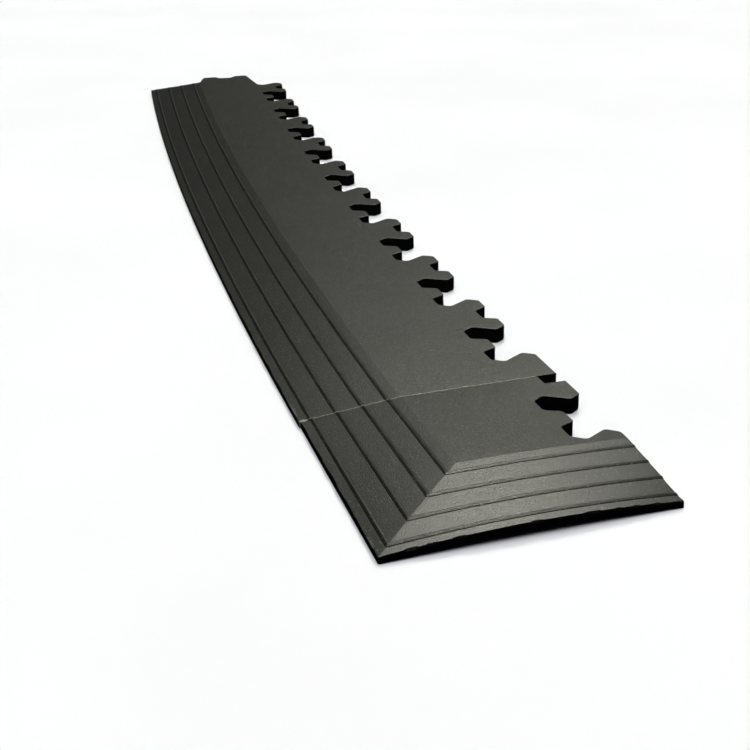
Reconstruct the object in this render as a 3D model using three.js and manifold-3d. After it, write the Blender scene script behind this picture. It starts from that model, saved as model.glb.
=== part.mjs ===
// Bevelled rubber edging for an interlocking floor: one long ramp strip, one mitred corner ramp,
// and the line of adhesive that joins them end to end.
//
// Frame: millimetres, +Z up, underside on z = 0. X runs inward from the outer edge of the strip to
// its jigsaw teeth, Y runs along the strip, and the mitred corner is at the low end of both. The
// pieces are drawn from the outer corner at the joint end, and the finished group is then centred.

import * as THREE from "three";
import { mergeVertices } from "three/addons/utils/BufferGeometryUtils.js";
import Module from "manifold-3d";

const wasm = await Module();
wasm.setup();

// ---- Thickness and ramp -------------------------------------------------------------------------
const MAT_THICKNESS = 10; // flat field, same as the tiles it borders
const EDGE_THICKNESS = 4; // upright outer edge
const RAMP_WIDTH = 60.6; // outer edge to the start of the flat field
const LIP_WIDTH = 5.4; // outer edge to the first rib
const RIB_PITCH = 15.35;
const RIB_WIDTH = 2.2; // level crest of each rib
const RIB_STEP = 0.6; // upright face on the outer side of each rib
const GROOVE_WIDTH = 0.6; // V groove behind each crest
const GROOVE_DEPTH = 0.35;

// ---- Jigsaw teeth -------------------------------------------------------------------------------
const TIP_LINE = 159; // outer edge to the tips of the teeth
const TOOTH_DEPTH = 29;
const TOOTH_PERIOD = 100;
const GAP_MOUTH = 51.6; // across the mouth of a gap, corner to corner
const GAP_FLOOR = 48.4; // across the floor of a gap
const POCKET_REACH = 5.3; // each end of a gap spreads this far beyond its floor, as an undercut
const POCKET_RISE = 7.3; // height above the floor at which a gap is widest
const KNOB_HEIGHT = 10; // low knob in the middle of a gap
const KNOB_TOP = 14;
const KNOB_BASE = 23;
const NOTCH_DEPTH = 9; // notch in the tip of a tooth, the knob's counterpart
const CORNER_RADIUS = 3.2; // rounding of the outline's corners
const ARC_STEPS = 3; // straight facets on each rounded corner

// ---- Strip --------------------------------------------------------------------------------------
const STRIP_LENGTH = 966; // joined end to the square shoulder at the far end
const END_GAP_INSET = 9; // shoulder to the middle of the gap that runs out there
const SHORTEST_START = 30; // least from the joined end to the middle of the first gap
const BOW_RADIUS = 9650; // the strip lies in a slow curve towards its teeth
const BOW_SPACING = 44; // between the cross-sections along the curve

// ---- Tongue on the far end of the strip ---------------------------------------------------------
const TONGUE_WIDTH = 54.5; // across its tip
const TONGUE_INSET = 8; // root line of the teeth to the near side of the tip
const TONGUE_FLARE = 6.5; // the outer flank spreads this far towards its foot

// ---- Corner -------------------------------------------------------------------------------------
const CORNER_LENGTH = 150.5; // outer corner to the joint, along Y
const CORNER_GAP_TO_JOINT = 55.8; // middle of its gap to the joint
const STEP_LENGTH = 10.5; // the last tooth stops this far short of the joint
const STEP_BACK = 13.2; // and there the edge steps back this far
const CORNER_SHIFT = 0.8; // the corner sits this much further in than the strip
const CORNER_ARCH = 4; // rise of its free edge at mid-width, easing to nothing at the joint
const ARCH_SPACING = 14; // between the section lines that carry the arch

// ---- Adhesive -----------------------------------------------------------------------------------
const CLEARANCE = 0.3; // between the adhesive and the rubber
const BOND_THICKNESS = 0.4;
const BEAD_HEIGHT = 0.5;
const BEAD_WIDTH = 2;

// ---- Worked out from the sizes above ------------------------------------------------------------
const JOINT_GAP = BOND_THICKNESS + 2 * CLEARANCE;
const ROOT_LINE = TIP_LINE - TOOTH_DEPTH;
const STRIP_START = CORNER_LENGTH + JOINT_GAP;
const RIB_COUNT = 1 + Math.floor((RAMP_WIDTH - LIP_WIDTH - RIB_WIDTH - GROOVE_WIDTH) / RIB_PITCH);
const LAST_GAP = STRIP_LENGTH - END_GAP_INSET;
const GAP_COUNT = Math.floor((LAST_GAP - SHORTEST_START) / TOOTH_PERIOD);
const FIRST_GAP = LAST_GAP - GAP_COUNT * TOOTH_PERIOD;
const OVERSHOOT = 60; // cutting solids run past the piece by this much

// ---- Materials ----------------------------------------------------------------------------------
const stripRubber = new THREE.MeshStandardMaterial({ color: 0x2e2e2b, roughness: 0.72, metalness: 0 });
const cornerRubber = new THREE.MeshStandardMaterial({ color: 0x31312e, roughness: 0.7, metalness: 0 });
const adhesive = new THREE.MeshStandardMaterial({ color: 0x8c8c7c, roughness: 0.5, metalness: 0 });

// ---- Solids -------------------------------------------------------------------------------------

/** A closed geometry as a manifold solid, with its faces turned outward. */
function toSolid(geometry) {
  const bare = new THREE.BufferGeometry();
  bare.setAttribute("position", geometry.getAttribute("position"));
  if (geometry.index) bare.setIndex(geometry.index);
  const merged = mergeVertices(bare, 1e-4);
  const vertProperties = merged.attributes.position.array;
  const triVerts = new Uint32Array(merged.index.array);
  const solid = new wasm.Manifold(new wasm.Mesh({ numProp: 3, vertProperties, triVerts }));
  if (solid.volume() > 0) return solid;
  for (let i = 0; i < triVerts.length; i += 3) {
    [triVerts[i], triVerts[i + 1]] = [triVerts[i + 1], triVerts[i]];
  }
  return new wasm.Manifold(new wasm.Mesh({ numProp: 3, vertProperties, triVerts }));
}

/** A manifold solid as a named, coloured mesh. */
function toMesh(name, solid, material) {
  const { vertProperties, triVerts, numProp } = solid.getMesh();
  const position = new Float32Array((vertProperties.length / numProp) * 3);
  for (let i = 0; i < position.length / 3; i++) {
    position.set(vertProperties.subarray(i * numProp, i * numProp + 3), i * 3);
  }
  const geometry = new THREE.BufferGeometry();
  geometry.setAttribute("position", new THREE.BufferAttribute(position, 3));
  geometry.setIndex(new THREE.BufferAttribute(triVerts, 1));
  geometry.computeVertexNormals();
  const mesh = new THREE.Mesh(geometry, material);
  mesh.name = name;
  return mesh;
}

/** Sweeps a closed (across, height) profile through stations; place maps it into the frame. */
function sweep(outline, stations, place) {
  const profile = THREE.ShapeUtils.isClockWise(outline) ? [...outline].reverse() : outline;
  const position = [];
  for (const along of stations) {
    for (const p of profile) position.push(...place(p.x, along, p.y));
  }
  const ring = profile.length;
  const index = [];
  for (let s = 0; s < stations.length - 1; s++) {
    for (let i = 0; i < ring; i++) {
      const next = (i + 1) % ring;
      const a = s * ring + i;
      const b = s * ring + next;
      index.push(a, b, b + ring, a, b + ring, a + ring);
    }
  }
  const capAt = (s) => {
    const face = profile.map((p) => new THREE.Vector2(p.x, place(p.x, stations[s], p.y)[2]));
    return THREE.ShapeUtils.triangulateShape(face, []).flat().map((i) => s * ring + i);
  };
  index.push(...capAt(0).reverse(), ...capAt(stations.length - 1));
  const geometry = new THREE.BufferGeometry();
  geometry.setAttribute("position", new THREE.Float32BufferAttribute(position, 3));
  geometry.setIndex(index);
  return toSolid(geometry);
}

/** Evenly spaced values from one end to the other, no further apart than the spacing. */
function ruled(from, to, spacing) {
  const steps = Math.max(1, Math.ceil(Math.abs(to - from) / spacing));
  return Array.from({ length: steps + 1 }, (_, i) => from + ((to - from) * i) / steps);
}

/** An upright prism over a plan outline, from below the piece to above it. */
function prism(outline) {
  const depth = MAT_THICKNESS + 2 * OVERSHOOT;
  const geometry = new THREE.ExtrudeGeometry(new THREE.Shape(outline), { depth, bevelEnabled: false });
  geometry.translate(0, 0, -OVERSHOOT);
  return toSolid(geometry);
}

// ---- Ramp profile -------------------------------------------------------------------------------

/** The top of the ramp from the outer edge inward, as (distance in, height) points. */
function rampTop(grooveDepth) {
  const sloped = RAMP_WIDTH - RIB_COUNT * (RIB_WIDTH + GROOVE_WIDTH);
  const slope = (MAT_THICKNESS - EDGE_THICKNESS - RIB_COUNT * RIB_STEP) / sloped;
  const points = [new THREE.Vector2(0, EDGE_THICKNESS)];
  let height = EDGE_THICKNESS;
  let behind = 0;
  for (let rib = 0; rib < RIB_COUNT; rib++) {
    const face = LIP_WIDTH + rib * RIB_PITCH;
    const crestEnd = face + RIB_WIDTH;
    height += slope * (face - behind);
    points.push(new THREE.Vector2(face, height));
    height += RIB_STEP;
    points.push(new THREE.Vector2(face, height));
    points.push(new THREE.Vector2(crestEnd, height));
    points.push(new THREE.Vector2(crestEnd + GROOVE_WIDTH / 2, height - grooveDepth));
    behind = crestEnd + GROOVE_WIDTH;
    points.push(new THREE.Vector2(behind, height));
  }
  points.push(new THREE.Vector2(RAMP_WIDTH, MAT_THICKNESS));
  return points;
}

/** The whole cross-section, running on past the teeth, where the plan outline cuts it. */
function rampProfile(spacing) {
  const far = TIP_LINE + OVERSHOOT;
  const field = [...ruled(RAMP_WIDTH, TIP_LINE, spacing).slice(1), far];
  const underside = [far, ...ruled(TIP_LINE, 0, spacing)];
  return [
    ...rampTop(GROOVE_DEPTH),
    ...field.map((x) => new THREE.Vector2(x, MAT_THICKNESS)),
    ...underside.map((x) => new THREE.Vector2(x, 0)),
  ];
}

/** The ramp alone: a section that cuts the bevel and stays clear of the field and the underside. */
function bevelCutter() {
  const far = TIP_LINE + OVERSHOOT;
  return [
    ...rampTop(GROOVE_DEPTH),
    new THREE.Vector2(RAMP_WIDTH, MAT_THICKNESS + OVERSHOOT),
    new THREE.Vector2(far, MAT_THICKNESS + OVERSHOOT),
    new THREE.Vector2(far, -OVERSHOOT),
    new THREE.Vector2(0, -OVERSHOOT),
  ];
}

// ---- Plan outline -------------------------------------------------------------------------------

/** Rounds the corners of a polyline; the two ends stay where they are. */
function rounded(points) {
  const out = [points[0]];
  for (let i = 1; i < points.length - 1; i++) {
    const corner = points[i];
    const toLast = points[i - 1].clone().sub(corner);
    const toNext = points[i + 1].clone().sub(corner);
    const room = 0.45 * Math.min(toLast.length(), toNext.length());
    const half = toLast.angleTo(toNext) / 2;
    const trim = Math.min(CORNER_RADIUS / Math.tan(half), room);
    const start = corner.clone().add(toLast.setLength(trim));
    const end = corner.clone().add(toNext.setLength(trim));
    const arc = new THREE.QuadraticBezierCurve(start, corner, end);
    out.push(...arc.getPoints(ARC_STEPS));
  }
  out.push(points[points.length - 1]);
  return out;
}

/** Half of a gap, from its middle out to the mouth; side is 1 for the far half, -1 for the near. */
function halfGap(middle, side) {
  const at = (along, height) => new THREE.Vector2(ROOT_LINE + height, middle + side * along);
  return [
    at(KNOB_TOP / 2, KNOB_HEIGHT),
    at(KNOB_BASE / 2, 0),
    at(GAP_FLOOR / 2, 0),
    at(GAP_FLOOR / 2 + POCKET_REACH, POCKET_RISE),
    at(GAP_MOUTH / 2 - POCKET_REACH, TOOTH_DEPTH - POCKET_RISE),
    at(GAP_MOUTH / 2, TOOTH_DEPTH),
  ];
}

/** A whole gap between two teeth, in order along the edge. */
function gap(middle) {
  return [...halfGap(middle, -1).reverse(), ...halfGap(middle, 1)];
}

/** The notch in the tip of a tooth, which takes the knob of the piece that locks in. */
function notch(middle) {
  const at = (along, depth) => new THREE.Vector2(TIP_LINE - depth, middle + along);
  return [
    at(-KNOB_BASE / 2, 0),
    at(-KNOB_TOP / 2, NOTCH_DEPTH),
    at(KNOB_TOP / 2, NOTCH_DEPTH),
    at(KNOB_BASE / 2, 0),
  ];
}

/** Plan outline of the strip while it is still straight, y from the joint. */
function stripOutline() {
  const edge = [new THREE.Vector2(TIP_LINE, 0)];
  for (let i = 0; i < GAP_COUNT; i++) {
    const middle = FIRST_GAP + i * TOOTH_PERIOD;
    edge.push(...gap(middle), ...notch(middle + TOOTH_PERIOD / 2));
  }
  // The last gap runs out at the end of the strip: past its near half, the edge is the tongue's.
  edge.push(...halfGap(LAST_GAP, -1).reverse().slice(0, 4));
  const tip = STRIP_LENGTH + TOOTH_DEPTH;
  const near = ROOT_LINE - TONGUE_INSET;
  const far = near - TONGUE_WIDTH;
  const middle = (near + far) / 2;
  edge.push(
    new THREE.Vector2(near, tip),
    new THREE.Vector2(middle + KNOB_BASE / 2, tip),
    new THREE.Vector2(middle + KNOB_TOP / 2, tip - NOTCH_DEPTH),
    new THREE.Vector2(middle - KNOB_TOP / 2, tip - NOTCH_DEPTH),
    new THREE.Vector2(middle - KNOB_BASE / 2, tip),
    new THREE.Vector2(far, tip),
    new THREE.Vector2(far - TONGUE_FLARE, STRIP_LENGTH),
    new THREE.Vector2(-OVERSHOOT, STRIP_LENGTH),
  );
  return [...rounded(edge), new THREE.Vector2(-OVERSHOOT, 0)];
}

/** Plan outline of the corner piece, before it is shifted in. */
function cornerOutline() {
  const stepBack = TIP_LINE - STEP_BACK;
  const tipEnd = CORNER_LENGTH - STEP_LENGTH;
  const edge = rounded([
    new THREE.Vector2(TIP_LINE, -OVERSHOOT),
    ...gap(CORNER_LENGTH - CORNER_GAP_TO_JOINT),
    new THREE.Vector2(TIP_LINE, tipEnd),
  ]);
  return [
    ...edge,
    new THREE.Vector2(stepBack, tipEnd),
    new THREE.Vector2(stepBack, CORNER_LENGTH),
    new THREE.Vector2(-OVERSHOOT, CORNER_LENGTH),
    new THREE.Vector2(-OVERSHOOT, -OVERSHOOT),
  ];
}

/** Where a point of the straight strip lies once the strip is bowed. */
function bow(across, along) {
  const centre = TIP_LINE / 2 + BOW_RADIUS;
  const heading = along / BOW_RADIUS;
  const reach = centre - across;
  return [centre - reach * Math.cos(heading), STRIP_START + reach * Math.sin(heading)];
}

/** Where a point of the flat corner lies once the corner is arched. */
function arched(x, y, z) {
  const half = TIP_LINE / 2;
  const fromMiddle = (x - half) / half;
  return [x, y, z + CORNER_ARCH * (1 - y / CORNER_LENGTH) * (1 - fromMiddle * fromMiddle)];
}

// ---- Pieces -------------------------------------------------------------------------------------

function straightRamp() {
  const stations = ruled(-OVERSHOOT, STRIP_LENGTH + TOOTH_DEPTH + OVERSHOOT, BOW_SPACING);
  const bar = sweep(rampProfile(Infinity), stations, (across, along, height) => [
    ...bow(across, along),
    height,
  ]);
  const outline = stripOutline().map((p) => new THREE.Vector2(...bow(p.x, p.y)));
  return toMesh("straight_ramp", bar.intersect(prism(outline)), stripRubber);
}

function cornerRamp() {
  const stations = (to) => [-OVERSHOOT, ...ruled(0, to, ARCH_SPACING), TIP_LINE + OVERSHOOT];
  const slab = sweep(rampProfile(ARCH_SPACING), stations(CORNER_LENGTH), arched);
  const bevel = sweep(bevelCutter(), stations(TIP_LINE), (across, along, height) =>
    arched(along, across, height),
  );
  const solid = slab.intersect(bevel).intersect(prism(cornerOutline()));
  const mesh = toMesh("corner_ramp", solid, cornerRubber);
  mesh.position.x = CORNER_SHIFT;
  return mesh;
}

/** The film between the two end faces, with a low bead standing on the joint line. */
function seamBond() {
  const end = TIP_LINE - STEP_BACK;
  const top = rampTop(0);
  const lifted = (by) => [
    ...top.map((p) => new THREE.Vector2(Math.max(p.x - by, 0), p.y + by)),
    new THREE.Vector2(end, MAT_THICKNESS + by),
  ];
  const under = lifted(CLEARANCE);
  const over = lifted(CLEARANCE + BEAD_HEIGHT);
  const bead = [...over, ...under.reverse()];
  const film = [...over, new THREE.Vector2(end, CLEARANCE), new THREE.Vector2(0, CLEARANCE)];
  const middle = CORNER_LENGTH + JOINT_GAP / 2;
  const across = (profile, width) =>
    sweep(profile, [middle - width / 2, middle + width / 2], (x, y, z) => [x, y, z]);
  return toMesh("seam_bond", across(bead, BEAD_WIDTH).add(across(film, BOND_THICKNESS)), adhesive);
}

// The origin of the finished part is the middle of its bounding box, on the underside.
const laid = new THREE.Group();
laid.add(straightRamp(), cornerRamp(), seamBond());
const middle = new THREE.Box3().setFromObject(laid).getCenter(new THREE.Vector3());
laid.position.set(-middle.x, -middle.y, 0);

const edging = new THREE.Group();
edging.name = "bevelled_edging";
edging.add(laid);

export default edging;
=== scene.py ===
"""Bevelled rubber edging for an interlocking floor, as it lies on a pale studio floor.

A long ribbed ramp strip is bonded end to end to a mitred corner ramp. Each of the two mouldings and
the line of adhesive between them is a class that builds its own mesh around the fixed frame.
Plan sizes are millimetres from the outer corner at the joint end, as the mouldings are drawn:
x runs in from the bevelled edge to the jigsaw teeth, y runs along the strip, z is up.
"""

import logging
import math
from dataclasses import dataclass, field
from enum import Enum
from typing import Callable, Sequence

import bpy
from mathutils import Euler, Matrix, Vector, noise
from mathutils.bvhtree import BVHTree
from mathutils.geometry import delaunay_2d_cdt


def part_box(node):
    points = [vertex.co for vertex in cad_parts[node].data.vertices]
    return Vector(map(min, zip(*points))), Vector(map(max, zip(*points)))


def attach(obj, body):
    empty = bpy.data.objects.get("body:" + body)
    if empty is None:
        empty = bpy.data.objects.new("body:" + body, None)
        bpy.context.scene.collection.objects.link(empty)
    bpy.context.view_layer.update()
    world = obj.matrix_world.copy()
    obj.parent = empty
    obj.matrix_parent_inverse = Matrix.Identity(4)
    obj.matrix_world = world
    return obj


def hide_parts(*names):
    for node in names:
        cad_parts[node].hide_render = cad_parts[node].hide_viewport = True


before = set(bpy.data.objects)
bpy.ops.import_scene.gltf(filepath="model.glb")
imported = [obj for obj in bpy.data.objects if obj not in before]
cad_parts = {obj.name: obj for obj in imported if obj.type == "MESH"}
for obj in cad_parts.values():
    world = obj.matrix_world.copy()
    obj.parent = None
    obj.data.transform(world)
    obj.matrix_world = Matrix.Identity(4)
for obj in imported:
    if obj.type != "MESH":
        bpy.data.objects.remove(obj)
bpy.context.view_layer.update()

LOG = logging.getLogger("edging")
MM = 0.001  # metres in a millimetre
WELD = 0.0005  # plan points closer than this are one point
CREASE = math.radians(16)  # sharper folds than this stay crisp

Point = tuple[float, float]
Point3 = tuple[float, float, float]
Line = list[Point]


class Half(Enum):
    """The two halves of a gap between teeth, as seen along the strip."""

    NEAR = -1
    FAR = 1


class Pattern(Enum):
    """Seeds that keep one pattern of unevenness apart from another."""

    FIELD = 1.0
    JOINT = 2.0
    FRAY = 2.2
    BLADE = 3.1
    BEAD = 4.0
    WALL = 5.0
    SNAG = 5.3
    CHIP = 7.7
    DASH = 8.0
    TEAR = 9.0


# ---- Plan geometry ------------------------------------------------------------------------------


def ruled(start: float, end: float, spacing: float) -> list[float]:
    """Evenly spaced values from one end to the other.

    Args:
        start: First value.
        end: Last value.
        spacing: The most that two neighbours may be apart.

    Returns:
        The values, both ends included.
    """
    steps = max(1, math.ceil(abs(end - start) / spacing))
    return [start + (end - start) * i / steps for i in range(steps + 1)]


def divided(points: Sequence[Point], spacing: float) -> Line:
    """Adds points along the long segments of a line.

    Args:
        points: The line.
        spacing: The longest segment that is left.

    Returns:
        The line with its own points and the new ones.
    """
    out: Line = [points[0]]
    for (ax, ay), (bx, by) in zip(points, points[1:]):
        for t in ruled(0.0, math.hypot(bx - ax, by - ay), spacing)[1:]:
            share = t / max(math.hypot(bx - ax, by - ay), WELD)
            out.append((ax + (bx - ax) * share, ay + (by - ay) * share))
    return out


def rounded(points: Sequence[Point], radius: float, steps: int) -> Line:
    """Rounds the corners of a line and leaves its two ends where they are.

    Args:
        points: Corners of the line.
        radius: Rounding of each corner, less where its two sides are short.
        steps: Segments on each rounded corner.

    Returns:
        The line with a curve in place of each inner corner.
    """
    share_of_side = 0.45
    out: Line = [points[0]]
    for last, corner, following in zip(points, points[1:], points[2:]):
        here = Vector(corner)
        to_last = Vector(last) - here
        to_next = Vector(following) - here
        room = share_of_side * min(to_last.length, to_next.length)
        half = to_last.angle(to_next) / 2
        trim = min(radius / math.tan(half), room)
        start = here + to_last.normalized() * trim
        end = here + to_next.normalized() * trim
        for i in range(steps + 1):
            t = i / steps
            p = start * (1 - t) ** 2 + here * (2 * t * (1 - t)) + end * t**2
            out.append((p.x, p.y))
    out.append(points[-1])
    return out


def inset(loop: Sequence[Point], distance: float) -> Line:
    """Moves a counter-clockwise closed outline inward.

    Args:
        loop: The outline, without a repeated last point.
        distance: How far in each side moves.

    Returns:
        The smaller outline, point for point.
    """
    least_square = 0.5  # stops a sharp corner from running far out
    out: Line = []
    for i, here in enumerate(loop):
        before = (Vector(here) - Vector(loop[i - 1])).normalized()
        after = (Vector(loop[(i + 1) % len(loop)]) - Vector(here)).normalized()
        bisector = Vector((-before.y - after.y, before.x + after.x))
        reach = 2 * distance / max(bisector.length_squared, least_square)
        out.append((here[0] + bisector.x * reach, here[1] + bisector.y * reach))
    return out


@dataclass
class Cut:
    """A plan outline cut into triangles.

    Attributes:
        points: The outline's points first, in order, and then every point that was added.
        triangles: Counter-clockwise from above, and all inside the outline.
    """

    points: Line
    triangles: list[tuple[int, int, int]]


def cut_up(outline: Sequence[Point], lines: Sequence[Sequence[Point]], free: Sequence[Point]) -> Cut:
    """Cuts the inside of an outline into triangles.

    Args:
        outline: Closed and counter-clockwise.
        lines: Lines that triangle edges follow; where they cross, a point is added.
        free: Single points inside.

    Returns:
        The points and triangles.
    """
    coords = [Vector(p) for p in outline]
    edges: list[tuple[int, int]] = []
    for line in lines:
        first = len(coords)
        coords += [Vector(p) for p in line]
        edges += [(first + i, first + i + 1) for i in range(len(line) - 1)]
    coords += [Vector(p) for p in free]
    whole_hull = 0
    face = list(range(len(outline)))
    made, _, faces, sources, _, inside = delaunay_2d_cdt(coords, edges, [face], whole_hull, WELD, True)
    kept = [face for face, source in zip(faces, inside) if source]
    order = {min(source): i for i, source in enumerate(sources) if source}
    renumber = {order[i]: i for i in face}
    points = [(made[order[i]].x, made[order[i]].y) for i in face]
    for i, p in enumerate(made):
        if i not in renumber:
            renumber[i] = len(points)
            points.append((p.x, p.y))
    triangles = []
    for a, b, c in kept:
        turn = (made[b] - made[a]).cross(made[c] - made[a])
        tri = (a, b, c) if turn > 0 else (a, c, b)
        triangles.append(tuple(renumber[i] for i in tri))
    return Cut(points, triangles)


def ripple(x: float, y: float, size: float, pattern: Pattern, layer: float = 0.0) -> float:
    """Smooth unevenness from -1 to 1 at a plan point.

    Args:
        x: Plan place.
        y: Plan place.
        size: Width of one hump.
        pattern: Which pattern.
        layer: Depth at which the pattern is cut, which changes it slowly.

    Returns:
        The height of the pattern there.
    """
    return noise.noise(Vector((x / size, y / size, pattern.value + layer)))


# ---- The moulded section and its teeth ----------------------------------------------------------


@dataclass(frozen=True)
class RampSection:
    """Cross-section of the moulding from the outer edge inward, in millimetres.

    Attributes:
        edge: Height of the outer edge.
        lip_width: Width of the plain lip outside the first rib.
        rib_step: How much higher the ramp goes on behind a rib than before it.
        rib_height: Height of a rib's crest over the ramp before it.
        foot_step: Height of the upright foot on a rib's outer side, and foot_draft its lean.
        crest_at: How far in from the foot the crest is, and crest_round its rounding.
    """

    thickness: float = 10.0
    edge: float = 4.0
    ramp_width: float = 60.6
    lip_width: float = 5.55
    rib_count: int = 4
    rib_pitch: float = 15.35
    rib_width: float = 2.65
    rib_step: float = 0.45
    rib_height: float = 0.76
    foot_step: float = 0.32
    foot_draft: float = 0.1
    crest_at: float = 1.62
    crest_round: float = 0.2

    def breaks(self) -> list[Point]:
        """Works out the section, with each rib steep on its outer side and gentle on its inner side.

        Returns:
            Points of (distance in, height), from the outer edge to the flat field.
        """
        sloped = self.ramp_width - self.rib_count * self.rib_width
        climb = self.thickness - self.edge - self.rib_count * self.rib_step
        slope = climb / sloped
        ease = self.crest_round
        points = [(0.0, self.edge)]
        height = self.edge
        behind = 0.0
        for rib in range(self.rib_count):
            foot = self.lip_width + rib * self.rib_pitch
            height += slope * (foot - behind)
            crest = height + self.rib_height
            points += [
                (foot, height),
                (foot + self.foot_draft, height + self.foot_step),
                (foot + self.crest_at - 2 * ease, crest - ease / 3),
                (foot + self.crest_at - ease, crest - ease / 8),
                (foot + self.crest_at, crest),
                (foot + self.crest_at + ease, crest - ease / 8),
                (foot + self.rib_width, height + self.rib_step),
            ]
            height += self.rib_step
            behind = foot + self.rib_width
        points.append((self.ramp_width, self.thickness))
        return points


@dataclass(frozen=True)
class Teeth:
    """The jigsaw teeth along the inner edge, in millimetres.

    Attributes:
        tip_line: Distance from the outer edge to the tips.
        gap_mouth: Width of a gap at the tips, and gap_floor at the roots.
        pocket_reach: How far the side of a gap swings out over its floor, and in below its mouth.
        pocket_rise: How far from the floor, and from the mouth, it does so.
        knob_height: Height of the knob in the middle of a gap, with its widths at top and base.
        notch_depth: Depth of the notch in each tip, which is as wide as the knob.
    """

    tip_line: float = 159.0
    depth: float = 29.0
    period: float = 100.0
    gap_mouth: float = 51.6
    gap_floor: float = 48.4
    pocket_reach: float = 5.3
    pocket_rise: float = 7.3
    knob_height: float = 10.0
    knob_top: float = 14.0
    knob_base: float = 23.0
    notch_depth: float = 9.0
    corner_radius: float = 3.2
    arc_steps: int = 7

    @property
    def root_line(self) -> float:
        """Distance in from the outer edge to the roots of the teeth."""
        return self.tip_line - self.depth

    def half_gap(self, middle: float, half: Half) -> Line:
        """Half of a gap, from the knob in its middle out to the mouth.

        Args:
            middle: Place of the gap along the edge.
            half: Which half.

        Returns:
            The corners in order.
        """
        shape = [
            (self.knob_top / 2, self.knob_height),
            (self.knob_base / 2, 0.0),
            (self.gap_floor / 2, 0.0),
            (self.gap_floor / 2 + self.pocket_reach, self.pocket_rise),
            (self.gap_mouth / 2 - self.pocket_reach, self.depth - self.pocket_rise),
            (self.gap_mouth / 2, self.depth),
        ]
        return [(self.root_line + up, middle + half.value * along) for along, up in shape]

    def gap(self, middle: float) -> Line:
        """A whole gap between two teeth, in order along the edge."""
        return self.half_gap(middle, Half.NEAR)[::-1] + self.half_gap(middle, Half.FAR)

    def notch(self, middle: float) -> Line:
        """The notch in the tip of a tooth.

        Args:
            middle: Place of the notch along the edge.

        Returns:
            The corners in order along the edge.
        """
        shape = [
            (-self.knob_base / 2, 0.0),
            (-self.knob_top / 2, self.notch_depth),
            (self.knob_top / 2, self.notch_depth),
            (self.knob_base / 2, 0.0),
        ]
        return [(self.tip_line - down, middle + along) for along, down in shape]

    def smooth(self, corners: Sequence[Point]) -> Line:
        """Rounds the corners of an outline as the mould does."""
        return rounded(corners, self.corner_radius, self.arc_steps)


# ---- Finishes -----------------------------------------------------------------------------------


def linear(code: str) -> tuple[float, float, float, float]:
    """Turns an sRGB hex colour into the linear values that a shader takes.

    Args:
        code: Six hex digits after a hash sign.

    Returns:
        Red, green, blue and alpha.
    """
    knee, foot, offset, power = 0.04045, 12.92, 0.055, 2.4
    parts = [int(code[i : i + 2], 16) / 255 for i in (1, 3, 5)]
    lin = [c / foot if c <= knee else ((c + offset) / (1 + offset)) ** power for c in parts]
    return (lin[0], lin[1], lin[2], 1.0)


def per_mm(size: float) -> float:
    """Texture scale that makes one cell of a pattern this many millimetres wide."""
    return 1 / (size * MM)


def add_node(
    tree: bpy.types.NodeTree,
    kind: str,
    sets: dict[str | int, object] | None = None,
    links: dict[str | int, bpy.types.NodeSocket] | None = None,
) -> bpy.types.Node:
    """Adds a node with its settings and its incoming links.

    Args:
        tree: The node tree.
        kind: Type name of the node.
        sets: Values by property name, or by input name or number.
        links: Output sockets by input name or number.

    Returns:
        The new node.
    """
    node = tree.nodes.new(kind)
    for name, value in (sets or {}).items():
        if isinstance(name, str) and hasattr(node, name):
            setattr(node, name, value)
        else:
            node.inputs[name].default_value = value
    for name, socket in (links or {}).items():
        tree.links.new(socket, node.inputs[name])
    return node


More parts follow.
